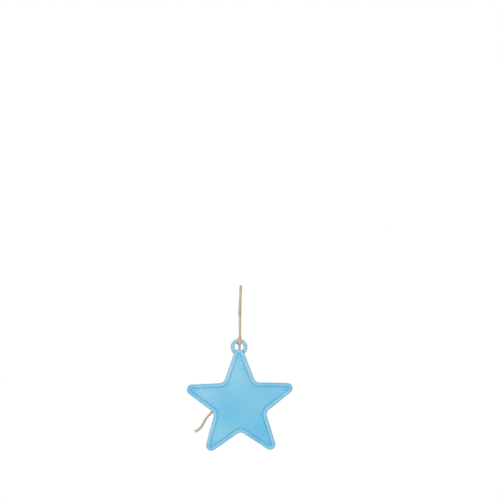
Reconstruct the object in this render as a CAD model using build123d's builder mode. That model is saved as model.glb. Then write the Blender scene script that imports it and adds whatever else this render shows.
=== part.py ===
from build123d import *
import os
from math import atan2, cos, pi, radians, sin, tan

# A star-shaped balloon weight that hangs on a length of jute twine, in millimetres.
# The star is upright and faces -Y. The origin is where a ribbon bears in the eye at the top of the twine.

# Star outline
POINT_COUNT = 5
STAR_REACH = 45.4  # from the star's centre to the end of a point
POINT_RADIUS = 4.3
POINT_HALF_ANGLE = 20.0  # degrees between a point's axis and its sides
NOTCH_RADIUS = 4.9
STAR_LEAN = 1.0  # degrees, so that the ring is left of the line and the weight under it

# Tray
STAR_THICKNESS = 9.0
FLOOR_THICKNESS = 1.6
RIM_WIDTH = 3.1
RIM_POINT_SHARE = 0.27  # the radius of the recess's points, as a share of POINT_RADIUS
RIM_OUTER_SHARE = 0.5  # the outer round, as a share of the rim's width where it is narrowest
RIM_SLOPE_SHARE = 0.34  # the slope down to the seam, as a share of that width
RIM_SLOPE_DEPTH = 0.5
RIM_CREST_SHARE = 0.6  # how much of the flat between them the round at the top of the slope takes
BACK_ROUND = 1.3
LEDGE_WIDTH = 1.0
LEDGE_DEPTH = 2.6  # from the rim's crest down to the ledge that carries the face panel
BOSS_DIAMETER = 5.0
BOSS_CIRCLE_RADIUS = 24.0
CAVITY_POINT_RADIUS = 2.4

# Ring on the top point
RING_HOLE_RADIUS = 3.7
RING_BAR_DIAMETER = 3.2
RING_RISE = 1.7  # from the end of the point up to the ring's centre
RING_FORWARD = 1.0  # from the star's middle plane towards its face

# Face panel
PANEL_CLEARANCE = 0.06
PANEL_SETBACK = 0.1  # the panel's crown lies this far behind the rim's crest
PANEL_CROWN_DROP = 0.5  # from the panel's middle to the end of a point
PANEL_EDGE_DEPTH = 0.8  # from the rim's crest down to the foot of the panel's sloping edge
PANEL_EDGE_WIDTH = 1.5  # how far that edge would draw in on its way up to the crest
PANEL_TOP_SHARE = 0.5  # the radius of its points up there, as a share of that at its foot
PEG_DIAMETER = 2.4
PEG_LENGTH = 3.4
PEG_CHAMFER = 0.4
PEG_CLEARANCE = 0.05
PEG_END_CLEARANCE = 0.4

# Ballast
BALLAST_CLEARANCE = 0.3
BALLAST_CHAMFER = 0.6

# Twine
TWINE_DIAMETER = 2.0
HITCH_CLEARANCE = 0.3  # between the ring's bar and the strand round it
STRAND_CLEARANCE = 0.7  # where the hitch crosses itself
SWING_CLEARANCE = 0.3  # between the round end of the line and the hitch
EYE_TO_STAR = 95.8  # from the bearing point in the eye down to the star's centre
LINE_RIGHT = 0.3  # from the star's middle to the line
LINE_BACK = 1.7
HITCH_RISE = 10.0  # from the ring's bar up to where the line bends
EYE_LENGTH = 24.0
FOLD_HALF_WIDTH = 2.3
EYE_CLEARANCE = 0.3  # between the standing strand and the one folded back
GAP_STEP = 0.2  # spacing of the points at which the hitch is measured

# Places that follow from the sizes
half_angle = radians(POINT_HALF_ANGLE)
star_centre = Vector(-LINE_RIGHT, -LINE_BACK, -EYE_TO_STAR)
lean = radians(STAR_LEAN)
star_plane = Plane(origin=star_centre, x_dir=(cos(lean), 0, sin(lean)), z_dir=(0, -1, 0))
back_plane = star_plane.offset(-STAR_THICKNESS / 2)
floor_plane = back_plane.offset(FLOOR_THICKNESS)
crest_plane = star_plane.offset(STAR_THICKNESS / 2)
ledge_plane = crest_plane.offset(-LEDGE_DEPTH)
edge_plane = crest_plane.offset(-PANEL_EDGE_DEPTH)
cavity_depth = STAR_THICKNESS - FLOOR_THICKNESS - LEDGE_DEPTH
boss_hole_radius = PEG_DIAMETER / 2 + PEG_CLEARANCE
ring_radius = RING_HOLE_RADIUS + RING_BAR_DIAMETER / 2
ring_centre = star_plane.from_local_coords(Vector(0, STAR_REACH + RING_RISE, RING_FORWARD))
ring_plane = Plane(origin=ring_centre, x_dir=(1, 0, 0), z_dir=(0, 0, 1))
bar_spot = Vector(0, ring_centre.Y, ring_centre.Z + ring_radius)  # on the ring's bar, in front of the line
twine_radius = TWINE_DIAMETER / 2
swing_point = Vector(0, 0, bar_spot.Z + HITCH_RISE)
line_top = Vector(0, 0, -EYE_LENGTH)


def point_apex(inset):
    """Where the sides of a point would meet, from the star's centre, when they are drawn in by the inset."""
    return STAR_REACH - POINT_RADIUS + (POINT_RADIUS - inset) / sin(half_angle)


def star_profile(plane, inset, point_radius):
    """The star's outline on a plane, its sides and notches drawn in by the inset."""
    apex = point_apex(inset)
    notch = apex * sin(half_angle) / sin(pi / POINT_COUNT + half_angle)
    corners = []
    for step in range(2 * POINT_COUNT):
        reach = notch if step % 2 else apex
        angle = pi / 2 + step * pi / POINT_COUNT
        corners.append((reach * cos(angle), reach * sin(angle)))
    with BuildSketch(plane) as profile:
        with BuildLine():
            Polyline(*corners, close=True)
        make_face()
        fillet(profile.vertices().sort_by_distance((0, 0, 0))[POINT_COUNT:], point_radius)
        fillet(profile.vertices().sort_by_distance((0, 0, 0))[:POINT_COUNT], NOTCH_RADIUS + inset)
    return profile.sketch


def boss_spots():
    """Places of the bosses on a star plane, one in each point."""
    return PolarLocations(BOSS_CIRCLE_RADIUS, POINT_COUNT, start_angle=90)


def arc_radii(points):
    """The largest even arc at each inner point of a cord's route."""
    radii = []
    for before, corner, after in zip(points, points[1:], points[2:]):
        arriving = Vector(corner) - Vector(before)
        leaving = Vector(after) - Vector(corner)
        half_turn = radians(arriving.get_angle(leaving)) / 2
        radii.append(0.45 * min(arriving.length, leaving.length) / tan(half_turn))
    return radii


def cord_path(name, points):
    """Straight runs joined by tangent arcs, whose radii are printed."""
    radii = arc_radii(points)
    print(name, "arc radii", [round(radius, 1) for radius in radii])
    with BuildLine() as path:
        FilletPolyline(*points, radius=radii)
    return path.wire()


def least_self_gap(path):
    """The least gap between the strands of one tube, measured on points along its path."""
    count = round(path.length / GAP_STEP)
    spots = [path @ (step / count) for step in range(count + 1)]
    apart = round(pi * TWINE_DIAMETER / GAP_STEP)
    gaps = []
    for index, spot in enumerate(spots):
        gaps += [(other - spot).length for other in spots[index + apart :]]
    return min(gaps) - TWINE_DIAMETER


def compare_volume(name, part, path):
    """Prints a tube's volume beside its section times its length."""
    expected = pi * twine_radius**2 * path.length
    print(name, "length", round(path.length, 1), "volume", round(part.volume, 1), "of", round(expected, 1))


# Points of the recess, whose ends lie nearer to the outline than its sides do
recess_point_radius = RIM_POINT_SHARE * POINT_RADIUS
recess_reach = point_apex(RIM_WIDTH) - recess_point_radius * (1 / sin(half_angle) - 1)
panel_point_radius = recess_point_radius - PANEL_CLEARANCE
panel_crown_radius = (recess_reach**2 + PANEL_CROWN_DROP**2) / (2 * PANEL_CROWN_DROP)

# Section of the rim where it is narrowest, at the end of a point or along its sides
narrowest_rim = min(STAR_REACH - recess_reach, RIM_WIDTH)
rim_outer_round = RIM_OUTER_SHARE * narrowest_rim
rim_slope_width = RIM_SLOPE_SHARE * narrowest_rim
rim_flat = narrowest_rim - rim_outer_round - rim_slope_width
rim_crest_round = RIM_CREST_SHARE * rim_flat / tan(atan2(RIM_SLOPE_DEPTH, rim_slope_width) / 2)

# Tray with its bead rim, the ring on its top point and the bosses that hold the face
with BuildPart() as body_shell:
    extrude(star_profile(back_plane, 0, POINT_RADIUS), amount=STAR_THICKNESS)
    fillet(body_shell.faces().sort_by(Axis.Y)[0].edges(), rim_outer_round)
    fillet(body_shell.faces().sort_by(Axis.Y)[-1].edges(), BACK_ROUND)
    with BuildSketch(ring_plane):
        with Locations((ring_radius, 0)):
            Circle(RING_BAR_DIAMETER / 2)
    revolve(axis=Axis(ring_centre, (0, 1, 0)))
    panel_recess = star_profile(crest_plane, RIM_WIDTH, recess_point_radius)
    extrude(panel_recess, amount=-LEDGE_DEPTH, mode=Mode.SUBTRACT)
    cavity = star_profile(ledge_plane, RIM_WIDTH + LEDGE_WIDTH, CAVITY_POINT_RADIUS)
    extrude(cavity, amount=-cavity_depth, mode=Mode.SUBTRACT)
    crest = body_shell.faces().sort_by(Axis.Y)[0]
    chamfer(crest.inner_wires()[0].edges(), rim_slope_width, RIM_SLOPE_DEPTH, reference=crest)
    fillet(body_shell.faces().sort_by(Axis.Y)[0].inner_wires()[0].edges(), rim_crest_round)
    with BuildSketch(floor_plane):
        with boss_spots():
            Circle(BOSS_DIAMETER / 2)
    extrude(amount=cavity_depth)
    with BuildSketch(ledge_plane):
        with boss_spots():
            Circle(boss_hole_radius)
    extrude(amount=-(PEG_LENGTH + PEG_END_CLEARANCE), mode=Mode.SUBTRACT)
body_shell.part.label = "body_shell"

# Face panel with its sloping edge, its crown and the pegs that press into the bosses
with BuildPart() as face_panel:
    panel_inset = RIM_WIDTH + PANEL_CLEARANCE
    panel_outline = star_profile(ledge_plane, panel_inset, panel_point_radius)
    extrude(panel_outline, amount=LEDGE_DEPTH - PANEL_EDGE_DEPTH)
    edge_foot = star_profile(edge_plane, panel_inset, panel_point_radius)
    edge_top = star_profile(crest_plane, panel_inset + PANEL_EDGE_WIDTH, PANEL_TOP_SHARE * panel_point_radius)
    loft([edge_foot, edge_top], ruled=True)
    with Locations(crest_plane.offset(-PANEL_SETBACK - panel_crown_radius).origin):
        Sphere(panel_crown_radius, mode=Mode.INTERSECT)
    with BuildSketch(ledge_plane):
        with boss_spots():
            Circle(PEG_DIAMETER / 2)
    extrude(amount=-PEG_LENGTH)
    chamfer(face_panel.faces().group_by(Axis.Y)[-1].edges(), PEG_CHAMFER)
face_panel.part.label = "face_panel"

# Cast ballast block that fills the tray round the bosses
with BuildPart() as ballast_core:
    ballast_inset = RIM_WIDTH + LEDGE_WIDTH + BALLAST_CLEARANCE
    ballast_outline = star_profile(floor_plane, ballast_inset, CAVITY_POINT_RADIUS - BALLAST_CLEARANCE)
    extrude(ballast_outline, amount=cavity_depth - BALLAST_CLEARANCE)
    chamfer(ballast_core.faces().filter_by(Axis.Y).edges(), BALLAST_CHAMFER)
    with BuildSketch(floor_plane):
        with boss_spots():
            Circle(BOSS_DIAMETER / 2 + BALLAST_CLEARANCE)
    extrude(amount=cavity_depth, mode=Mode.SUBTRACT)
ballast_core.part.label = "ballast_core"

# Twine's folded end: up the standing strand, round the fold and down to the cut end
folded_back = TWINE_DIAMETER + EYE_CLEARANCE
eye_points = [
    line_top,
    Vector(0, 0.1, -17),
    Vector(0, FOLD_HALF_WIDTH - 0.1, -7.5),
    Vector(0, FOLD_HALF_WIDTH, twine_radius),
    Vector(0, -FOLD_HALF_WIDTH, twine_radius),
    Vector(0, -FOLD_HALF_WIDTH - 0.1, -6.5),
    Vector(-0.4, -folded_back + 0.1, -14),
    Vector(-0.6, -folded_back, -21.7),
]
eye_path = cord_path("twine_eye", eye_points)
with BuildPart() as twine_eye:
    with BuildSketch(Plane(origin=eye_path @ 0, z_dir=eye_path % 0)):
        Circle(twine_radius)
    sweep(path=eye_path)
twine_eye.part.label = "twine_eye"
compare_volume("twine_eye", twine_eye.part, eye_path)

# Taut stretch, round at its lower end, where it bends
with BuildPart() as twine_line:
    with BuildSketch(Plane(origin=swing_point, x_dir=(1, 0, 0), z_dir=(0, 0, 1))):
        Circle(twine_radius)
    extrude(amount=line_top.Z - swing_point.Z)
    with Locations(swing_point):
        Sphere(twine_radius)
twine_line.part.label = "twine_line"

# Hitch on the ring's bar: behind it, under it, up its front, over it and under its own standing strand
wrap = RING_BAR_DIAMETER / 2 + HITCH_CLEARANCE + twine_radius
over = wrap + TWINE_DIAMETER + STRAND_CLEARANCE
nip_point = bar_spot + Vector(0, over, 1.0)
hitch_top = swing_point + (nip_point - swing_point).normalized() * (twine_radius + SWING_CLEARANCE)
hitch_points = [
    hitch_top,
    nip_point,
    bar_spot + Vector(0, wrap + 1.1, -wrap - 0.5),
    bar_spot + Vector(-0.3, -wrap, -wrap - 0.1),
    bar_spot + Vector(0.5, -wrap, wrap),
    bar_spot + Vector(1.4, wrap - 0.2, wrap + 0.2),
    bar_spot + Vector(-2.6, wrap, -1.6),
    bar_spot + Vector(-2.2, 6.5, -4.4),
]
tail_start = bar_spot + Vector(-1.6, 7.05, -6.3)
hitch_path = cord_path("ring_hitch", hitch_points + [tail_start])
with BuildPart() as ring_hitch:
    with BuildSketch(Plane(origin=hitch_path @ 0, z_dir=hitch_path % 0)):
        Circle(twine_radius)
    sweep(path=hitch_path)
ring_hitch.part.label = "ring_hitch"
compare_volume("ring_hitch", ring_hitch.part, hitch_path)
print("ring_hitch least gap to itself", round(least_self_gap(hitch_path), 2))

# Loose end, down behind the star and out past its left notch
tail_points = [
    tail_start,
    bar_spot + Vector(-1.0, 7.6, -8.2),
    star_centre + Vector(-1.1, 6.8, 41.2),
    star_centre + Vector(-2.9, 6.7, 35.0),
    star_centre + Vector(-6.1, 6.6, 26.4),
    star_centre + Vector(-9.9, 6.6, 17.1),
    star_centre + Vector(-13.7, 6.55, 7.9),
    star_centre + Vector(-18.1, 6.5, -0.4),
    star_centre + Vector(-23.1, 6.4, -6.7),
    star_centre + Vector(-27.9, 6.3, -11.4),
    star_centre + Vector(-30.5, 6.2, -16.8),
    star_centre + Vector(-33.1, 6.1, -20.6),
    star_centre + Vector(-36.6, 6.0, -22.3),
]
tail_path = cord_path("twine_tail", tail_points)
with BuildPart() as twine_tail:
    with BuildSketch(Plane(origin=tail_path @ 0, z_dir=tail_path % 0)):
        Circle(twine_radius)
    sweep(path=tail_path)
twine_tail.part.label = "twine_tail"
compare_volume("twine_tail", twine_tail.part, tail_path)

os.makedirs("parts", exist_ok=True)
for piece in (body_shell, face_panel, ballast_core, twine_eye, twine_line, ring_hitch, twine_tail):
    export_step(piece.part, f"parts/{piece.part.label}.step")
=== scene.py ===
"""Looks of the star balloon weight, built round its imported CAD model.

Everything is in metres in the CAD frame: +Z runs up along the taut twine, -Y is the way the star's
face looks, and the origin is where a ribbon bears in the folded eye of the twine.
"""

import logging
import math
import random
from bisect import bisect_left
from collections.abc import Mapping, Sequence
from dataclasses import dataclass, field
from enum import Enum
from typing import ClassVar

import bpy
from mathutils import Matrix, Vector


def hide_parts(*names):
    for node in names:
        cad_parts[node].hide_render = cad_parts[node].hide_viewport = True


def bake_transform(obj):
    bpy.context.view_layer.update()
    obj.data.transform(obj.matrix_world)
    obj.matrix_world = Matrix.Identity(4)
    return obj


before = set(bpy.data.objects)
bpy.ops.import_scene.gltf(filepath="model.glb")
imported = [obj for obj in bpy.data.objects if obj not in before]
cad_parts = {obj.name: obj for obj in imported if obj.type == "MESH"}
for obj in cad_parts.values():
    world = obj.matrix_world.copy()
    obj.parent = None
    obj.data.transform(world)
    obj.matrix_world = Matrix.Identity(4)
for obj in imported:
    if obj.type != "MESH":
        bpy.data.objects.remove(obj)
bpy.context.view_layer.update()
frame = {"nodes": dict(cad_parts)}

LOG = logging.getLogger("star_balloon_weight")
MM = 0.001

Point = tuple[float, float, float]
Colour = tuple[float, float, float, float]
Range = tuple[float, float]

WHITE: Colour = (1.0, 1.0, 1.0, 1.0)
TOP_LEVEL = 255

# A screen's curve: straight up to the knee, and a power of the level above it.
SCREEN_KNEE = 0.04045
SCREEN_SLOPE = 12.92
SCREEN_OFFSET = 0.055
SCREEN_POWER = 2.4

# Tones run from deep at 0 to pale at 1.
NOISE_MEAN = 0.5
PLAIN_TONE = 0.5
TONE_PLACES = (0.0, PLAIN_TONE, 1.0)


class Body(Enum):
    """The CAD bodies that the twine lies between."""

    EYE = "eye"
    LINE = "line"
    HITCH = "hitch"


class Slot(Enum):
    """The record's material slot for the twine."""

    TWINE = "twine"


class Lie(Enum):
    """How a length of twine lies."""

    TAUT = "taut"
    HANGING = "hanging"


class MixSocket(Enum):
    """Numbers of a Mix node's colour sockets, whose names its other kinds share."""

    FACTOR = 0
    FIRST = 6
    SECOND = 7
    RESULT = 2


def tint(code: str) -> Colour:
    """Turn a written screen colour into the linear colour that a shader takes.

    Args:
        code: The colour as a hash and six hexadecimal digits.

    Returns:
        Linear red, green, blue and an alpha of one.
    """
    shown = [level / TOP_LEVEL for level in bytes.fromhex(code.removeprefix("#"))]
    red, green, blue = (
        c / SCREEN_SLOPE if c <= SCREEN_KNEE
        else ((c + SCREEN_OFFSET) / (1 + SCREEN_OFFSET)) ** SCREEN_POWER
        for c in shown
    )
    return (red, green, blue, 1.0)


def turns_of(sides: int) -> list[float]:
    """Share a full turn out over the sides of a tube.

    Args:
        sides: How many sides it has.

    Returns:
        The turn of each side's point.
    """
    return [math.tau * j / sides for j in range(sides)]


class Value:
    """A shader socket that plain arithmetic works on; each operation adds one Math node."""

    def __init__(self, shading: "Shading", socket: bpy.types.NodeSocket) -> None:
        """Keep the socket and the shading that it belongs to."""
        self.shading = shading
        self.socket = socket

    def _math(self, operation: str, first: "Term", second: "Term") -> "Value":
        """Add a Math node.

        Args:
            operation: The node's operation.
            first: Its first operand.
            second: Its second operand.

        Returns:
            The result.
        """
        node = self.shading.add("ShaderNodeMath", {"operation": operation}, {0: first, 1: second})
        return self.shading.value(node)

    def __add__(self, other: "Term") -> "Value":
        """Return this plus other."""
        return self._math("ADD", self, other)

    def __radd__(self, other: "Term") -> "Value":
        """Return other plus this."""
        return self._math("ADD", other, self)

    def __sub__(self, other: "Term") -> "Value":
        """Return this less other."""
        return self._math("SUBTRACT", self, other)

    def __rsub__(self, other: "Term") -> "Value":
        """Return other less this."""
        return self._math("SUBTRACT", other, self)

    def __mul__(self, other: "Term") -> "Value":
        """Return this times other."""
        return self._math("MULTIPLY", self, other)

    def __rmul__(self, other: "Term") -> "Value":
        """Return other times this."""
        return self._math("MULTIPLY", other, self)

    def at_least(self, other: "Term") -> "Value":
        """Take the larger of two.

        Args:
            other: What this is compared with.

        Returns:
            The larger of this and other.
        """
        return self._math("MAXIMUM", self, other)


Term = Value | float | Sequence[float]


class Shading:
    """The nodes of one material or of the world."""

    def __init__(self, tree: bpy.types.NodeTree) -> None:
        """Empty the tree and keep it."""
        self.tree = tree
        tree.nodes.clear()

    @classmethod
    def of_material(cls, name: str) -> tuple[bpy.types.Material, "Shading"]:
        """Make a material and its empty shading.

        Args:
            name: The material's name.

        Returns:
            The material and its shading.
        """
        material = bpy.data.materials.new(name)
        material.use_nodes = True
        return material, cls(material.node_tree)

    def add(
        self,
        kind: str,
        settings: Mapping[str, object] | None = None,
        sockets: Mapping[int | str, Term] | None = None,
    ) -> bpy.types.Node:
        """Add any node.

        Args:
            kind: The node's type.
            settings: Its own settings, set first; stops are those of a colour ramp.
            sockets: Values or links of its inputs, by name or number.

        Returns:
            The node.
        """
        node = self.tree.nodes.new(kind)
        for key, setting in (settings or {}).items():
            if key == "stops":
                self._set_stops(node.color_ramp, setting)
            else:
                setattr(node, key, setting)
        for key, term in (sockets or {}).items():
            if isinstance(term, Value):
                self.tree.links.new(term.socket, node.inputs[key])
            else:
                node.inputs[key].default_value = term
        return node

    @staticmethod
    def _set_stops(ramp: bpy.types.ColorRamp, stops: Sequence[tuple[float, Colour]]) -> None:
        """Give a colour ramp its stops.

        Args:
            ramp: The ramp, as new.
            stops: Place and colour of each stop, in order.
        """
        while len(ramp.elements) < len(stops):
            ramp.elements.new(1.0)
        for element, (place, colour) in zip(ramp.elements, stops):
            element.position = place
            element.color = colour

    def value(self, node: bpy.types.Node, output: int | str = 0) -> Value:
        """Take one output of a node.

        Args:
            node: The node.
            output: The output's name or number.

        Returns:
            The output, for use in arithmetic.
        """
        return Value(self, node.outputs[output])

    def object_place(self) -> Value:
        """Read where a point of the surface is.

        Returns:
            Its object coordinates.
        """
        return self.value(self.add("ShaderNodeTexCoord"), "Object")

    def step(self, term: Value, low: float, high: float) -> Value:
        """Rise smoothly from 0 to 1.

        Args:
            term: What rises.
            low: Where the result is still 0.
            high: Where the result is 1.

        Returns:
            The rise.
        """
        return self.value(self.add(
            "ShaderNodeMapRange",
            {"interpolation_type": "SMOOTHSTEP"},
            {"Value": term, "From Min": low, "From Max": high},
        ))

    def noise(self, place: Value, scale: float, detail: float, roughness: float = 0.5) -> Value:
        """Return soft noise.

        Args:
            place: Where it is read.
            scale: Features per unit of place.
            detail: Finer layers that are added.
            roughness: Weight of the finer layers.

        Returns:
            Noise from 0 to 1, about 0.5 on average.
        """
        return self.value(self.add(
            "ShaderNodeTexNoise",
            None,
            {"Vector": place, "Scale": scale, "Detail": detail, "Roughness": roughness},
        ))

    def tones(
        self, tone: Value, colours: Sequence[str], places: Sequence[float] = TONE_PLACES,
    ) -> Value:
        """Turn a tone into a colour.

        Args:
            tone: The tone.
            colours: Written colours, from deep to pale.
            places: The tone of each of them.

        Returns:
            The colour, blended from those with the nearest tones.
        """
        stops = [(place, tint(colour)) for place, colour in zip(places, colours)]
        return self.value(self.add("ShaderNodeValToRGB", {"stops": stops}, {"Fac": tone}), "Color")

    def bump(self, height: Value, strength: float, distance: float) -> Value:
        """Raise a surface.

        Args:
            height: How high each place stands, as a share of distance.
            strength: How much of that shows.
            distance: The full height.

        Returns:
            The raised surface's normal.
        """
        return self.value(self.add(
            "ShaderNodeBump", None, {"Height": height, "Strength": strength, "Distance": distance},
        ), "Normal")

    def spread(self, place: Value, centre: Point) -> Value:
        """Measure how far off a place is.

        Args:
            place: The place.
            centre: Where it is measured from.

        Returns:
            The distance.
        """
        return self.value(self.add(
            "ShaderNodeVectorMath", {"operation": "DISTANCE"}, {0: place, 1: centre},
        ), "Value")

    def part(self, place: Value, axis: str) -> Value:
        """Take one coordinate of a place.

        Args:
            place: The place.
            axis: The coordinate's name.

        Returns:
            The coordinate.
        """
        return self.value(self.add("ShaderNodeSeparateXYZ", None, {0: place}), axis)

    def blend(self, factor: Value, first: Term, second: Term) -> Value:
        """Mix two colours.

        Args:
            factor: The share of the second.
            first: Colour at 0.
            second: Colour at 1.

        Returns:
            The mixed colour.
        """
        node = self.add("ShaderNodeMix", {"data_type": "RGBA"}, {
            MixSocket.FACTOR.value: factor,
            MixSocket.FIRST.value: first,
            MixSocket.SECOND.value: second,
        })
        return self.value(node, MixSocket.RESULT.value)

    def seen(self) -> Value:
        """Tell what is looked at from what only lights.

        Returns:
            1 where the camera, a reflection or glass looks, and 0 for other light.
        """
        path = self.add("ShaderNodeLightPath")
        looks = self.value(path, "Is Camera Ray").at_least(self.value(path, "Is Glossy Ray"))
        return looks.at_least(self.value(path, "Is Transmission Ray"))

    def surface(self, kind: str, sockets: Mapping[int | str, Term]) -> Value:
        """Add a surface or background shader.

        Args:
            kind: The shader node's type.
            sockets: Values or links of its inputs.

        Returns:
            Its output.
        """
        return self.value(self.add(kind, None, sockets))

    def mix(self, factor: Value, first: Value, second: Value) -> Value:
        """Mix two shaders.

        Args:
            factor: The share of the second.
            first: Shader at 0.
            second: Shader at 1.

        Returns:
            The mixed shader.
        """
        return self.surface("ShaderNodeMixShader", {0: factor, 1: first, 2: second})

    def show(self, shader: Value, kind: str = "ShaderNodeOutputMaterial") -> None:
        """Connect the finished shader to the output.

        Args:
            shader: The finished shader.
            kind: The output node's type.
        """
        self.add(kind, None, {"Surface": shader})


@dataclass(frozen=True)
class TonePatch:
    """A soft patch where the colour is lighter or deeper; on the star most of them are painted
    light and shade.
    """

    centre: Point
    reach: float
    change: float


@dataclass(frozen=True)
class MouldedPlastic:
    """Satin pastel plastic, clouded as it left the mould.

    It is deeper in the groove as painted shade, and paler at the crest partly from rubbing and
    partly as a painted highlight; it is faded where it is handled. Soft patches lighten or deepen
    it, most of them painted light and shade. The fading starts above the part unless a height is
    given, so that there is none.
    """

    name: str
    crest: Point
    crown_radius: float = 0.0
    groove_top: float = 0.1 * MM
    groove_floor: float = 0.7 * MM
    groove_shade_loss: float = 0.0
    rub_and_highlight_depth: float = 1.2 * MM
    rub_and_highlight_gain: float = 0.0
    fade_from: float = 1.0
    fade_full: float = 1.1
    fade_share: float = 0.75
    patches: tuple[TonePatch, ...] = ()
    colours: tuple[str, str, str] = ("#44b2e0", "#73bedd", "#a6d5e6")
    faded: str = "#a8cad8"
    cloud_scale: float = 48.0
    cloud_detail: float = 3.0
    cloud_gain: float = 0.2
    grain_scale: float = 2600.0
    grain_detail: float = 2.0
    grain_height: float = 0.006
    grain_roughness: float = 0.08
    flow_scale: float = 75.0
    flow_detail: float = 1.0
    flow_height: float = 0.6
    flow_roughness: float = 0.1
    roughness: float = 0.46
    handled_polish: float = 0.06
    ior: float = 1.46
    specular: float = 0.4
    bump_strength: float = 0.25
    bump_distance: float = 0.6 * MM

    def _depth(self, shading: Shading, place: Value) -> Value:
        """Measure how far a place lies behind the crest.

        Args:
            shading: The material's shading.
            place: Object coordinates.

        Returns:
            Depth behind the crowned face, or behind the flat crest where there is no crown.
        """
        if self.crown_radius:
            middle = (self.crest[0], self.crest[1] + self.crown_radius, self.crest[2])
            return self.crown_radius - shading.spread(place, middle)
        return shading.part(place, "Y") - self.crest[1]

    def _tone(self, shading: Shading, place: Value, depth: Value) -> Value:
        """Work out how light the colour is.

        Args:
            shading: The material's shading.
            place: Object coordinates.
            depth: Depth behind the crest.

        Returns:
            The tone: 0 for deep, 0.5 for plain and 1 for pale.
        """
        cloud = shading.noise(place, self.cloud_scale, self.cloud_detail) - NOISE_MEAN
        # Painted shade: the colour is taken deeper down in the groove.
        groove = shading.step(depth, self.groove_top, self.groove_floor)
        # The crest is paler, partly from rubbing and partly as a painted highlight on the bead.
        rubbed_and_lit = 1 - shading.step(depth, 0.0, self.rub_and_highlight_depth)
        tone = PLAIN_TONE + cloud * self.cloud_gain
        tone = tone - groove * self.groove_shade_loss + rubbed_and_lit * self.rub_and_highlight_gain
        # Patches lighten or deepen the colour; on the star most of them are painted light and
        # shade.
        for patch in self.patches:
            near = 1 - shading.step(shading.spread(place, patch.centre), 0.0, patch.reach)
            tone = tone + near * patch.change
        return tone

    def material(self) -> bpy.types.Material:
        """Make the material.

        Returns:
            The finished material.
        """
        material, shading = Shading.of_material(self.name)
        place = shading.object_place()
        depth = self._depth(shading, place)
        fresh = shading.tones(self._tone(shading, place, depth), self.colours)
        handled = shading.step(shading.part(place, "Z"), self.fade_from, self.fade_full)
        grain = shading.noise(place, self.grain_scale, self.grain_detail)
        flow = shading.noise(place, self.flow_scale, self.flow_detail)
        height = grain * self.grain_height + flow * self.flow_height
        grainy = (grain - NOISE_MEAN) * self.grain_roughness
        wavy = (flow - NOISE_MEAN) * self.flow_roughness
        shading.show(shading.surface("ShaderNodeBsdfPrincipled", {
            "Base Color": shading.blend(handled * self.fade_share, fresh, tint(self.faded)),
            "Roughness": self.roughness + grainy + wavy - handled * self.handled_polish,
            "IOR": self.ior,
            "Specular IOR Level": self.specular,
            "Normal": shading.bump(height, self.bump_strength, self.bump_distance),
        }))
        return material


@dataclass(frozen=True)
class CastBallast:
    """Grey cast block with darker grit and small pits."""

    name: str = "cast_ballast"
    colours: tuple[str, str, str] = ("#6a6762", "#9a968f", "#b9b5ac")
    tone_places: tuple[float, float, float] = (0.1, 0.5, 0.85)
    grit_scale: float = 620.0
    blotch_scale: float = 140.0
    blotch_detail: float = 4.0
    blotch_weight: float = 0.6
    pit_size: Range = (0.08, 0.3)
    pit_loss: float = 0.25
    pit_height: float = 0.6
    roughness: float = 0.82
    blotch_roughness: float = 0.2
    bump_strength: float = 0.6
    bump_distance: float = 0.6 * MM

    def material(self) -> bpy.types.Material:
        """Make the material.

        Returns:
            The finished material.
        """
        material, shading = Shading.of_material(self.name)
        place = shading.object_place()
        grit = shading.value(shading.add(
            "ShaderNodeTexVoronoi", None, {"Vector": place, "Scale": self.grit_scale},
        ), "Distance")
        blotch = shading.noise(place, self.blotch_scale, self.blotch_detail, self.blotch_weight)
        pits = 1 - shading.step(grit, *self.pit_size)
        tone = blotch - pits * self.pit_loss
        height = blotch - pits * self.pit_height
        shading.show(shading.surface("ShaderNodeBsdfPrincipled", {
            "Base Color": shading.tones(tone, self.colours, self.tone_places),
            "Roughness": self.roughness + (blotch - NOISE_MEAN) * self.blotch_roughness,
            "Normal": shading.bump(height, self.bump_strength, self.bump_distance),
        }))
        return material


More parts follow.
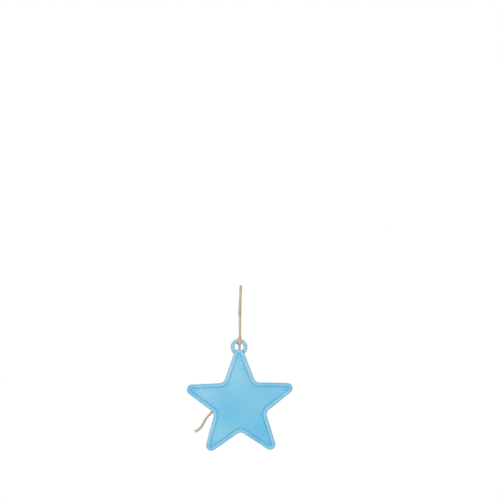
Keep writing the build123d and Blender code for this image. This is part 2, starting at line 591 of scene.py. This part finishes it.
@dataclass(frozen=True)
class JuteFibre:
    """Matte jute: streaks of light and dark fibre along each ply, with a few bark flecks."""

    name: str = "jute_fibre"
    lay: str = "lay"
    colours: tuple[str, str, str] = ("#ac977a", "#cebea5", "#e5dac7")
    streak_scales: Point = (3.4, 3.4, 0.22)
    streak_detail: float = 3.0
    streak_weight: float = 0.6
    streak_gain: float = 0.9
    streak_roughness: float = 0.2
    slub_scales: Point = (0.5, 0.5, 0.12)
    slub_detail: float = 2.0
    slub_gain: float = 0.4
    fleck_scale: float = 2.3
    fleck_detail: float = 1.0
    fleck_level: Range = (0.68, 0.78)
    fleck_loss: float = 0.3
    roughness: float = 0.82
    specular: float = 0.25
    sheen: float = 0.2
    sheen_roughness: float = 0.5
    bump_strength: float = 0.6
    bump_distance: float = 0.12 * MM

    def _tone(
        self, shading: Shading, streak_place: Value, slub_place: Value, streak: Value,
    ) -> Value:
        """Work out how light the fibre is.

        Args:
            shading: The material's shading.
            streak_place: Where streaks and flecks are read.
            slub_place: Where slubs are read.
            streak: The streaks.

        Returns:
            The tone: 0 for deep, 0.5 for plain and 1 for pale.
        """
        slub = shading.noise(slub_place, 1.0, self.slub_detail)
        bark = shading.noise(streak_place, self.fleck_scale, self.fleck_detail)
        fleck = shading.step(bark, *self.fleck_level)
        lit = PLAIN_TONE + (streak - NOISE_MEAN) * self.streak_gain
        return lit + (slub - NOISE_MEAN) * self.slub_gain - fleck * self.fleck_loss

    def material(self) -> bpy.types.Material:
        """Make the material, which reads the fibre's own lay on the mesh.

        Returns:
            The finished material.
        """
        material, shading = Shading.of_material(self.name)
        held = shading.add("ShaderNodeAttribute", {"attribute_name": self.lay})
        along = shading.value(held, "Vector")
        streak_place, slub_place = (
            shading.value(shading.add(
                "ShaderNodeMapping", None, {"Vector": along, "Scale": scales},
            ))
            for scales in (self.streak_scales, self.slub_scales)
        )
        streak = shading.noise(streak_place, 1.0, self.streak_detail, self.streak_weight)
        tone = self._tone(shading, streak_place, slub_place, streak)
        shading.show(shading.surface("ShaderNodeBsdfPrincipled", {
            "Base Color": shading.tones(tone, self.colours),
            "Roughness": self.roughness + (streak - NOISE_MEAN) * self.streak_roughness,
            "Specular IOR Level": self.specular,
            "Sheen Weight": self.sheen,
            "Sheen Roughness": self.sheen_roughness,
            "Normal": shading.bump(streak, self.bump_strength, self.bump_distance),
        }))
        return material


@dataclass(frozen=True)
class PaleFloor:
    """Pale floor that keeps the shadow near the object and runs out to white."""

    height: float
    name: str = "pale_floor"
    colour: str = "#f4f4f3"
    near: float = 0.16
    far: float = 0.5
    mottle_scale: float = 3.0
    mottle_detail: float = 2.0
    mottle_roughness: float = 0.1
    roughness: float = 0.7
    specular: float = 0.1

    def material(self) -> bpy.types.Material:
        """Make the material.

        Returns:
            The finished material.
        """
        material, shading = Shading.of_material(self.name)
        place = shading.object_place()
        mottle = shading.noise(place, self.mottle_scale, self.mottle_detail) - NOISE_MEAN
        away = shading.step(shading.spread(place, (0.0, 0.0, self.height)), self.near, self.far)
        card = shading.surface("ShaderNodeBsdfPrincipled", {
            "Base Color": tint(self.colour),
            "Roughness": self.roughness + mottle * self.mottle_roughness,
            "Specular IOR Level": self.specular,
        })
        white = shading.surface("ShaderNodeEmission", {"Color": WHITE, "Strength": 1.0})
        shading.show(shading.mix(shading.seen() * away, card, white))
        return material


@dataclass
class Centreline:
    """Points read from a route's smooth spline, with a frame that doesn't twist along them."""

    points: list[Vector]
    run: list[float] = field(default_factory=list)
    ahead: list[Vector] = field(default_factory=list)
    right: list[Vector] = field(default_factory=list)
    over: list[Vector] = field(default_factory=list)
    spline_order: ClassVar[int] = 3

    @classmethod
    def of_route(cls, name: str, route: Sequence[Point], fineness: int) -> "Centreline":
        """Read the line from a smooth spline with the route's points as its control points.

        Args:
            name: Name of the spline while it is read.
            route: The route's points in millimetres.
            fineness: Points that are read for each control point.

        Returns:
            The line in metres, with its frames.
        """
        curve = bpy.data.curves.new(name, "CURVE")
        curve.dimensions = "3D"
        curve.resolution_u = fineness
        spline = curve.splines.new("NURBS")
        spline.points.add(len(route) - 1)
        for point, place in zip(spline.points, route):
            point.co = (place[0] * MM, place[1] * MM, place[2] * MM, 1.0)
        spline.order_u = cls.spline_order
        spline.use_endpoint_u = True
        holder = bpy.data.objects.new(name, curve)
        bpy.context.scene.collection.objects.link(holder)
        read = bpy.data.meshes.new_from_object(holder)
        line = cls([vertex.co.copy() for vertex in read.vertices])
        bpy.data.meshes.remove(read)
        bpy.data.objects.remove(holder)
        bpy.data.curves.remove(curve)
        line._set_frames()
        return line

    def _set_frames(self) -> None:
        """Carry a frame along the points without twist, starting from the X axis."""
        last = len(self.points) - 1
        sideways = Vector((1.0, 0.0, 0.0))
        length = 0.0
        for i, point in enumerate(self.points):
            if i:
                length += (point - self.points[i - 1]).length
            heading = (self.points[min(i + 1, last)] - self.points[max(i - 1, 0)]).normalized()
            sideways = (sideways - heading * sideways.dot(heading)).normalized()
            self.run.append(length)
            self.ahead.append(heading)
            self.right.append(sideways.copy())
            self.over.append(heading.cross(sideways))

    @property
    def length(self) -> float:
        """Return the line's length in metres."""
        return self.run[-1]

    def place(self, run: float, angle: float, offset: float) -> Vector:
        """Find a place beside the line, or past its end.

        Args:
            run: Distance along the line.
            angle: Turn about the line.
            offset: Distance from the line.

        Returns:
            The place.
        """
        i = min(bisect_left(self.run, max(run, 0.0)), len(self.run) - 1)
        beyond = self.ahead[i] * (run - self.run[i])
        outward = self.right[i] * math.cos(angle) + self.over[i] * math.sin(angle)
        return self.points[i] + beyond + outward * offset


@dataclass
class MeshDraft:
    """Points, faces and fibre lay of a mesh that is being made."""

    points: list[Vector] = field(default_factory=list)
    faces: list[tuple[int, ...]] = field(default_factory=list)
    lay: list[Point] = field(default_factory=list)

    def add_tube(self, rings: Sequence[Sequence[Vector]], lay: Sequence[Sequence[Point]]) -> None:
        """Add a closed tube with domed ends.

        Args:
            rings: Points of each ring, turning to the right about the way ahead.
            lay: Fibre lay of each of those points.
        """
        sides = len(rings[0])
        base = len(self.points)
        for ring, ring_lay in zip(rings, lay):
            self.points.extend(ring)
            self.lay.extend(ring_lay)
        for i in range(len(rings) - 1):
            for j in range(sides):
                here, beside = base + i * sides + j, base + i * sides + (j + 1) % sides
                self.faces.append((here, beside, beside + sides, here + sides))
        last = base + (len(rings) - 1) * sides
        self._close(rings[0], lay[0], [base + (sides - j) % sides for j in range(sides)])
        self._close(rings[-1], lay[-1], [last + j for j in range(sides)])

    def _close(self, ring: Sequence[Vector], lay: Sequence[Point], numbers: Sequence[int]) -> None:
        """Close one end of a tube.

        Args:
            ring: The end ring's points.
            lay: Their fibre lay.
            numbers: The points' numbers, turning to the right about the way out.
        """
        centre = len(self.points)
        self.points.append(sum(ring, Vector()) / len(ring))
        self.lay.append(lay[0])
        for j, number in enumerate(numbers):
            self.faces.append((number, numbers[(j + 1) % len(numbers)], centre))

    def build(self, name: str, attribute: str) -> bpy.types.Object:
        """Make the object.

        Args:
            name: The object's name.
            attribute: Name of the attribute that holds the fibre lay.

        Returns:
            The object, smooth shaded, at the origin.
        """
        mesh = bpy.data.meshes.new(name)
        mesh.from_pydata(self.points, [], self.faces)
        mesh.polygons.foreach_set("use_smooth", [True] * len(mesh.polygons))
        held = mesh.attributes.new(attribute, "FLOAT_VECTOR", "POINT")
        held.data.foreach_set("vector", [x for place in self.lay for x in place])
        piece = bpy.data.objects.new(name, mesh)
        bpy.context.scene.collection.objects.link(piece)
        return piece


@dataclass(frozen=True)
class LooseFibres:
    """Fibres that have worked loose along a twine; each range is from the least to the most."""

    per_mm: float = 4.5
    lift: float = 1.0 * MM
    snug_lift: float = 0.2 * MM
    span: Range = (1.2 * MM, 4.5 * MM)
    sweep: Range = (-1.0, 1.0)
    root: Range = (0.72, 0.98)
    bow: Range = (1.2, 2.4)
    steps: tuple[float, ...] = (0.0, 0.22, 0.44, 0.66, 0.84, 1.0)


@dataclass(frozen=True)
class CutTuft:
    """Fibres that stand out of a twine's cut end; each range is from the least to the most."""

    count: int = 42
    longest: float = 1.9 * MM
    back: Range = (0.4 * MM, 2.4 * MM)
    reach: Range = (0.15, 1.0)
    spread: Range = (0.0, 0.9 * MM)
    sweep: Range = (-0.5, 0.5)
    steps: tuple[float, ...] = (0.0, 0.25, 0.5, 0.75, 1.0)


@dataclass
class TwineLength:
    """A length of three-ply jute twine, with loose fibres and one cut end."""

    name: str
    route: tuple[Point, ...]
    length: float
    lie: Lie
    bodies: tuple[Body, Body]
    bend_start: Point
    bend_end: Point
    stands_for: tuple[str, ...]
    seed: int
    snug: Range = (0.0, 0.0)
    diameter: float = 2.0 * MM
    plies: int = 3
    ply_radius: float = 0.6 * MM
    ply_offset: float = 0.47 * MM
    ply_lay_shift: float = 5.0
    lay_length: float = 6.8 * MM
    sides: int = 14
    fineness: int = 30
    waves: tuple[Range, ...] = ((31.0 * MM, 0.05), (13.0 * MM, 0.04), (5.7 * MM, 0.03))
    bundles: tuple[Point, ...] = ((3, 0.035, 90.0), (5, 0.03, -160.0), (7, 0.022, 210.0))
    fray_length: float = 3.0 * MM
    fray_spread: float = 0.4
    fray_thinning: float = 0.3
    fibre_radius: float = 0.032 * MM
    fibre_taper: float = 0.6
    fibre_sides: int = 3
    fibre_lay: Range = (20.0, 60.0)
    loose: LooseFibres = LooseFibres()
    tuft: CutTuft = CutTuft()

    @property
    def surface(self) -> float:
        """Return how far the plies stand out from the twine's line."""
        return self.ply_radius + self.ply_offset

    def _fullness(self, run: float) -> float:
        """Work out how thick the twine is.

        Args:
            run: Distance along it.

        Returns:
            The thickness there, as a share of the usual one.
        """
        return 1.0 + sum(gain * math.cos(math.tau * run / wave) for wave, gain in self.waves)

    def _ridge(self, angle: float, run: float) -> float:
        """Work out how far the fibre bundles stand out on a ply.

        Args:
            angle: Turn about the ply.
            run: Distance along it.

        Returns:
            The height, as a share of the ply's radius.
        """
        return sum(
            gain * math.cos(count * angle + drift * run) for count, gain, drift in self.bundles
        )

    def _add_plies(self, draft: MeshDraft, line: Centreline) -> None:
        """Lay the plies round the line.

        Args:
            draft: The mesh that is being made.
            line: The line that they follow.
        """
        turns = turns_of(self.sides)
        for ply in range(self.plies):
            rings, lay = [], []
            for i, run in enumerate(line.run):
                fray = max(0.0, 1 - (line.length - run) / self.fray_length) ** 2
                fullness = self._fullness(run)
                swing = math.tau * (ply / self.plies + run / self.lay_length)
                out = self.ply_offset * fullness * (1 + self.fray_spread * fray)
                centre = line.place(run, swing, out)
                radius = self.ply_radius * fullness * (1 - self.fray_thinning * fray)
                rings.append([
                    centre + (line.right[i] * math.cos(turn) + line.over[i] * math.sin(turn))
                    * radius * (1 + self._ridge(turn, run))
                    for turn in turns
                ])
                shift = self.ply_lay_shift * ply
                lay.append([
                    (math.cos(turn) + shift, math.sin(turn), run / self.ply_radius)
                    for turn in turns
                ])
            draft.add_tube(rings, lay)

    def _add_fibre(self, draft: MeshDraft, spine: Sequence[Vector], mark: Point) -> None:
        """Add one loose fibre.

        Args:
            draft: The mesh that is being made.
            spine: Points along the fibre.
            mark: Its fibre lay, which gives its tone.
        """
        last = len(spine) - 1
        rings = []
        for i, point in enumerate(spine):
            heading = (spine[min(i + 1, last)] - spine[max(i - 1, 0)]).normalized()
            sideways = heading.orthogonal().normalized()
            across = heading.cross(sideways)
            radius = self.fibre_radius * (1 - self.fibre_taper * i / last)
            rings.append([
                point + (sideways * math.cos(turn) + across * math.sin(turn)) * radius
                for turn in turns_of(self.fibre_sides)
            ])
        draft.add_tube(rings, [[mark] * self.fibre_sides] * len(rings))

    def _mark(self, chance: random.Random, run: float) -> Point:
        """Draw the lay of a loose fibre.

        Args:
            chance: The source of chance.
            run: Where the fibre starts along the twine.

        Returns:
            The fibre lay.
        """
        across, over = chance.uniform(*self.fibre_lay), chance.uniform(*self.fibre_lay)
        return (across, over, run / self.ply_radius)

    def _add_loose_fibre(self, draft: MeshDraft, line: Centreline, chance: random.Random) -> None:
        """Add a fibre that has worked loose.

        Args:
            draft: The mesh that is being made.
            line: The line of the twine.
            chance: The source of chance.
        """
        loose = self.loose
        start = chance.uniform(0.0, line.length)
        snug = self.snug[0] < start < self.snug[1]
        lift = (loose.snug_lift if snug else loose.lift) * chance.random() ** 2
        span = chance.uniform(*loose.span) * chance.choice((-1, 1))
        angle, sweep = chance.uniform(0.0, math.tau), chance.uniform(*loose.sweep)
        root, bow = chance.uniform(*loose.root) * self.surface, chance.uniform(*loose.bow)
        spine = [
            line.place(
                min(max(start + span * t, 0.0), line.length),
                angle + sweep * t,
                root + lift * t ** bow,
            )
            for t in loose.steps
        ]
        self._add_fibre(draft, spine, self._mark(chance, start))

    def _add_tuft_fibre(self, draft: MeshDraft, line: Centreline, chance: random.Random) -> None:
        """Add a fibre of the tuft at the cut end.

        Args:
            draft: The mesh that is being made.
            line: The line of the twine.
            chance: The source of chance.
        """
        tuft = self.tuft
        back = chance.uniform(*tuft.back)
        reach = tuft.longest * chance.uniform(*tuft.reach)
        angle, root = chance.uniform(0.0, math.tau), self.surface * math.sqrt(chance.random())
        spread, sweep = chance.uniform(*tuft.spread), chance.uniform(*tuft.sweep)
        spine = [
            line.place(
                line.length - back + (back + reach) * t,
                angle + sweep * t,
                root + spread * t ** 2,
            )
            for t in tuft.steps
        ]
        self._add_fibre(draft, spine, self._mark(chance, line.length))

    def _add_fuzz(self, draft: MeshDraft, line: Centreline) -> None:
        """Add the fibres that have worked loose, and the tuft at the cut end.

        Args:
            draft: The mesh that is being made.
            line: The line of the twine.
        """
        chance = random.Random(self.seed)
        for _ in range(round(line.length / MM * self.loose.per_mm)):
            self._add_loose_fibre(draft, line, chance)
        for _ in range(self.tuft.count):
            self._add_tuft_fibre(draft, line, chance)

    def build(self, finish: bpy.types.Material, attribute: str) -> bpy.types.Object:
        """Make the twine and hide the CAD parts that it stands for.

        Args:
            finish: The twine's material.
            attribute: Name of the attribute that the material reads.

        Returns:
            The piece.
        """
        line = Centreline.of_route(self.name + "_route", self.route, self.fineness)
        draft = MeshDraft()
        self._add_plies(draft, line)
        self._add_fuzz(draft, line)
        piece = draft.build(self.name, attribute)
        piece.data.materials.append(finish)
        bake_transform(piece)
        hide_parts(*self.stands_for)
        LOG.info("%s: %.1f mm, %d faces", self.name, line.length / MM, len(piece.data.polygons))
        return piece


@dataclass
class HangingTwine:
    """The twine, from its folded eye down to the hitch on the ring and the loose end.

    The routes are in millimetres and keep to the CAD tubes that they stand for.
    """

    eye_route: tuple[Point, ...] = (
        (-0.37, 0.0, -28.0), (-0.2, 0.1, -17.0), (0.05, 2.2, -7.5), (0.4, 2.3, 1.0),
        (0.4, -2.3, 1.0), (0.1, -2.4, -6.5), (-0.5, -2.2, -14.0), (-0.75, -2.3, -21.7),
    )
    line_route: tuple[Point, ...] = ((-0.37, 0.0, -28.0), (-0.42, 0.1, -34.2))
    hitch_route: tuple[Point, ...] = (
        (-0.5, 2.9, -42.2), (0.1, 1.4, -46.5), (-0.6, -5.6, -46.4), (-0.8, -5.6, -40.4),
        (0.4, -0.3, -40.4), (-3.6, 0.4, -44.6), (-0.9, 4.3, -46.4),
    )
    tail_route: tuple[Point, ...] = (
        (-0.6, 4.4, -49.7), (-0.7, 4.9, -51.6), (-1.4, 5.1, -54.6), (-3.2, 5.0, -60.8),
        (-6.4, 4.9, -69.4), (-10.2, 4.9, -78.7), (-14.0, 4.85, -87.9), (-18.4, 4.8, -96.2),
        (-23.4, 4.7, -102.5), (-28.2, 4.6, -107.2), (-30.8, 4.5, -112.6), (-33.4, 4.4, -116.4),
        (-36.9, 4.3, -118.1),
    )

    def build(self) -> list[bpy.types.Object]:
        """Make both lengths.

        Returns:
            The eye and the hanging end.
        """
        jute = JuteFibre()
        finish = jute.material()
        eye = TwineLength(
            name="jute_eye", route=self.eye_route, length=0.0545, lie=Lie.TAUT,
            bodies=(Body.EYE, Body.LINE), bend_start=(0.0, 0.0, -22.4), bend_end=(0.0, 0.0, -27.6),
            stands_for=("twine_eye",), seed=11,
        )
        hanging = TwineLength(
            name="jute_hanging_end", route=self.line_route + self.hitch_route + self.tail_route,
            length=0.125, lie=Lie.HANGING, bodies=(Body.LINE, Body.HITCH),
            bend_start=(0.0, 0.0, -28.2), bend_end=(0.0, 0.0, -38.6),
            stands_for=("twine_line", "ring_hitch", "twine_tail"), seed=29,
            snug=(10.0 * MM, 46.0 * MM),
        )
        return [length.build(finish, jute.lay) for length in (eye, hanging)]


@dataclass
class StarWeight:
    """The moulded star with its set-in face and the cast block inside."""

    rim_crest: Point = (-0.0003, -0.0062, -0.0958)
    panel_crest: Point = (-0.0003, -0.0061, -0.0958)
    panel_crown_radius: float = 1.796
    ring_foot: float = -0.055
    ring_waist: float = -0.0495
    # Painted light and shade on the rim's bead: paler on the top arm's flanks, deeper on edges
    # that face up or down and at the tips.
    rim_light_and_shade_patches: tuple[TonePatch, ...] = (
        TonePatch((-0.002, -0.006, -0.068), 0.022, 0.2),
        TonePatch((0.0266, -0.006, -0.0794), 0.017, -0.17),
        TonePatch((0.0128, -0.006, -0.1244), 0.015, -0.22),
        TonePatch((-0.0124, -0.006, -0.1249), 0.014, -0.1),
        TonePatch((0.0256, -0.006, -0.1301), 0.008, -0.1),
        TonePatch((-0.025, -0.006, -0.131), 0.009, -0.16),
        TonePatch((-0.0414, -0.006, -0.0832), 0.009, -0.2),
        TonePatch((0.0404, -0.006, -0.0818), 0.008, -0.1),
        TonePatch((-0.03, -0.006, -0.086), 0.018, -0.08),
        TonePatch((-0.0235, -0.006, -0.117), 0.013, 0.09),
    )
    # Soft areas of the face: lighter on the top, left and lower left arms, deeper in the middle
    # left and the lower right.
    panel_tone_and_tip_shade_patches: tuple[TonePatch, ...] = (
        TonePatch((-0.011, -0.006, -0.101), 0.022, -0.2),
        TonePatch((0.019, -0.005, -0.116), 0.024, -0.22),
        TonePatch((-0.027, -0.005, -0.088), 0.024, 0.1),
        TonePatch((-0.001, -0.005, -0.07), 0.02, 0.16),
        TonePatch((-0.016, -0.005, -0.119), 0.018, 0.12),
        # Painted shade in the groove at the tips, where it runs out, and on the top arm's right
        # side.
        TonePatch((-0.001, -0.0055, -0.0553), 0.005, -0.2),
        TonePatch((0.038, -0.0055, -0.0826), 0.006, -0.3),
        TonePatch((0.0241, -0.0055, -0.1281), 0.005, -0.2),
        TonePatch((-0.0235, -0.0055, -0.129), 0.006, -0.3),
        TonePatch((-0.039, -0.0055, -0.084), 0.006, -0.25),
        TonePatch((0.0048, -0.0055, -0.066), 0.008, -0.2),
    )

    def dress(self, nodes: Mapping[str, bpy.types.Object]) -> None:
        """Give each CAD node its finish.

        Args:
            nodes: The CAD nodes by name.
        """
        shell = MouldedPlastic(
            "satin_star_shell", crest=self.rim_crest, rub_and_highlight_gain=0.18,
            fade_from=self.ring_foot, fade_full=self.ring_waist, patches=self.rim_light_and_shade_patches,
        )
        panel = MouldedPlastic(
            "satin_star_face", crest=self.panel_crest, crown_radius=self.panel_crown_radius,
            groove_shade_loss=0.3, patches=self.panel_tone_and_tip_shade_patches,
        )
        finishes = {"body_shell": shell, "face_panel": panel, "ballast_core": CastBallast()}
        for name, finish in finishes.items():
            material = finish.material()
            for held in nodes[name].material_slots:
                held.material = material
            LOG.info("%s: %s", name, finish.name)


@dataclass(frozen=True)
class SoftLamp:
    """A square soft light that looks at the middle of the weight."""

    name: str
    place: Point
    size: float
    watts: float
    aim: Point = (0.0, 0.0, -0.09)

    def build(self) -> bpy.types.Object:
        """Make the lamp.

        Returns:
            The lamp.
        """
        light = bpy.data.lights.new(self.name, "AREA")
        light.size = self.size
        light.energy = self.watts
        lamp = bpy.data.objects.new(self.name, light)
        lamp.location = self.place
        towards = Vector(self.aim) - Vector(self.place)
        lamp.rotation_euler = towards.to_track_quat("-Z", "Y").to_euler()
        bpy.context.scene.collection.objects.link(lamp)
        return lamp


@dataclass
class Studio:
    """Camera, lamps, floor and white surroundings."""

    floor_height: float = -0.215
    floor_size: float = 12.0
    lens: float = 300.0
    sensor: float = 36.0
    sight: float = 50.0
    view_width: float = 0.411
    view_centre: tuple[float, float] = (0.0079, 0.03101)
    surround: float = 0.45
    lamps: tuple[SoftLamp, ...] = (
        SoftLamp("key", (-0.5, -1.9, 0.3), 0.8, 13.2),
        SoftLamp("fill", (0.3, -2.1, -0.15), 0.8, 12.2),
        SoftLamp("back", (0.3, 1.6, 0.8), 1.0, 13.0),
    )

    def build(self) -> None:
        """Make the whole studio."""
        self._add_camera()
        self._add_surround()
        self._add_floor()
        for lamp in self.lamps:
            lamp.build()
        bpy.context.scene.view_settings.view_transform = "Standard"

    def _add_camera(self) -> None:
        """Stand the camera square in front, far off, as in the photograph."""
        lens = bpy.data.cameras.new("camera")
        lens.lens = self.lens
        lens.sensor_width = self.sensor
        lens.clip_end = self.sight
        camera = bpy.data.objects.new("camera", lens)
        away = self.view_width * self.lens / self.sensor
        camera.location = (self.view_centre[0], -away, self.view_centre[1])
        camera.rotation_euler = (math.pi / 2, 0.0, 0.0)
        bpy.context.scene.collection.objects.link(camera)
        bpy.context.scene.camera = camera

    def _add_surround(self) -> None:
        """Light from all round, which shows as white."""
        world = bpy.data.worlds.new("surround")
        world.use_nodes = True
        bpy.context.scene.world = world
        shading = Shading(world.node_tree)
        soft, shown = (
            shading.surface("ShaderNodeBackground", {"Color": WHITE, "Strength": strength})
            for strength in (self.surround, 1.0)
        )
        shading.show(shading.mix(shading.seen(), soft, shown), "ShaderNodeOutputWorld")

    def _add_floor(self) -> None:
        """Lay the floor under the hanging weight."""
        bpy.ops.object.select_all(action="DESELECT")
        bpy.ops.mesh.primitive_plane_add(
            size=self.floor_size, location=(0.0, 0.0, self.floor_height),
        )
        floor = bpy.context.active_object
        floor.name = "floor"
        bpy.ops.object.transform_apply(location=True, rotation=True, scale=True)
        floor.data.materials.append(PaleFloor(self.floor_height).material())


def main() -> None:
    """Build the studio, the twine and the star, in that order."""
    logging.basicConfig(level=logging.INFO, format="%(name)s %(message)s")
    Studio().build()
    HangingTwine().build()
    StarWeight().dress(frame["nodes"])


if __name__ == "__main__":
    main()
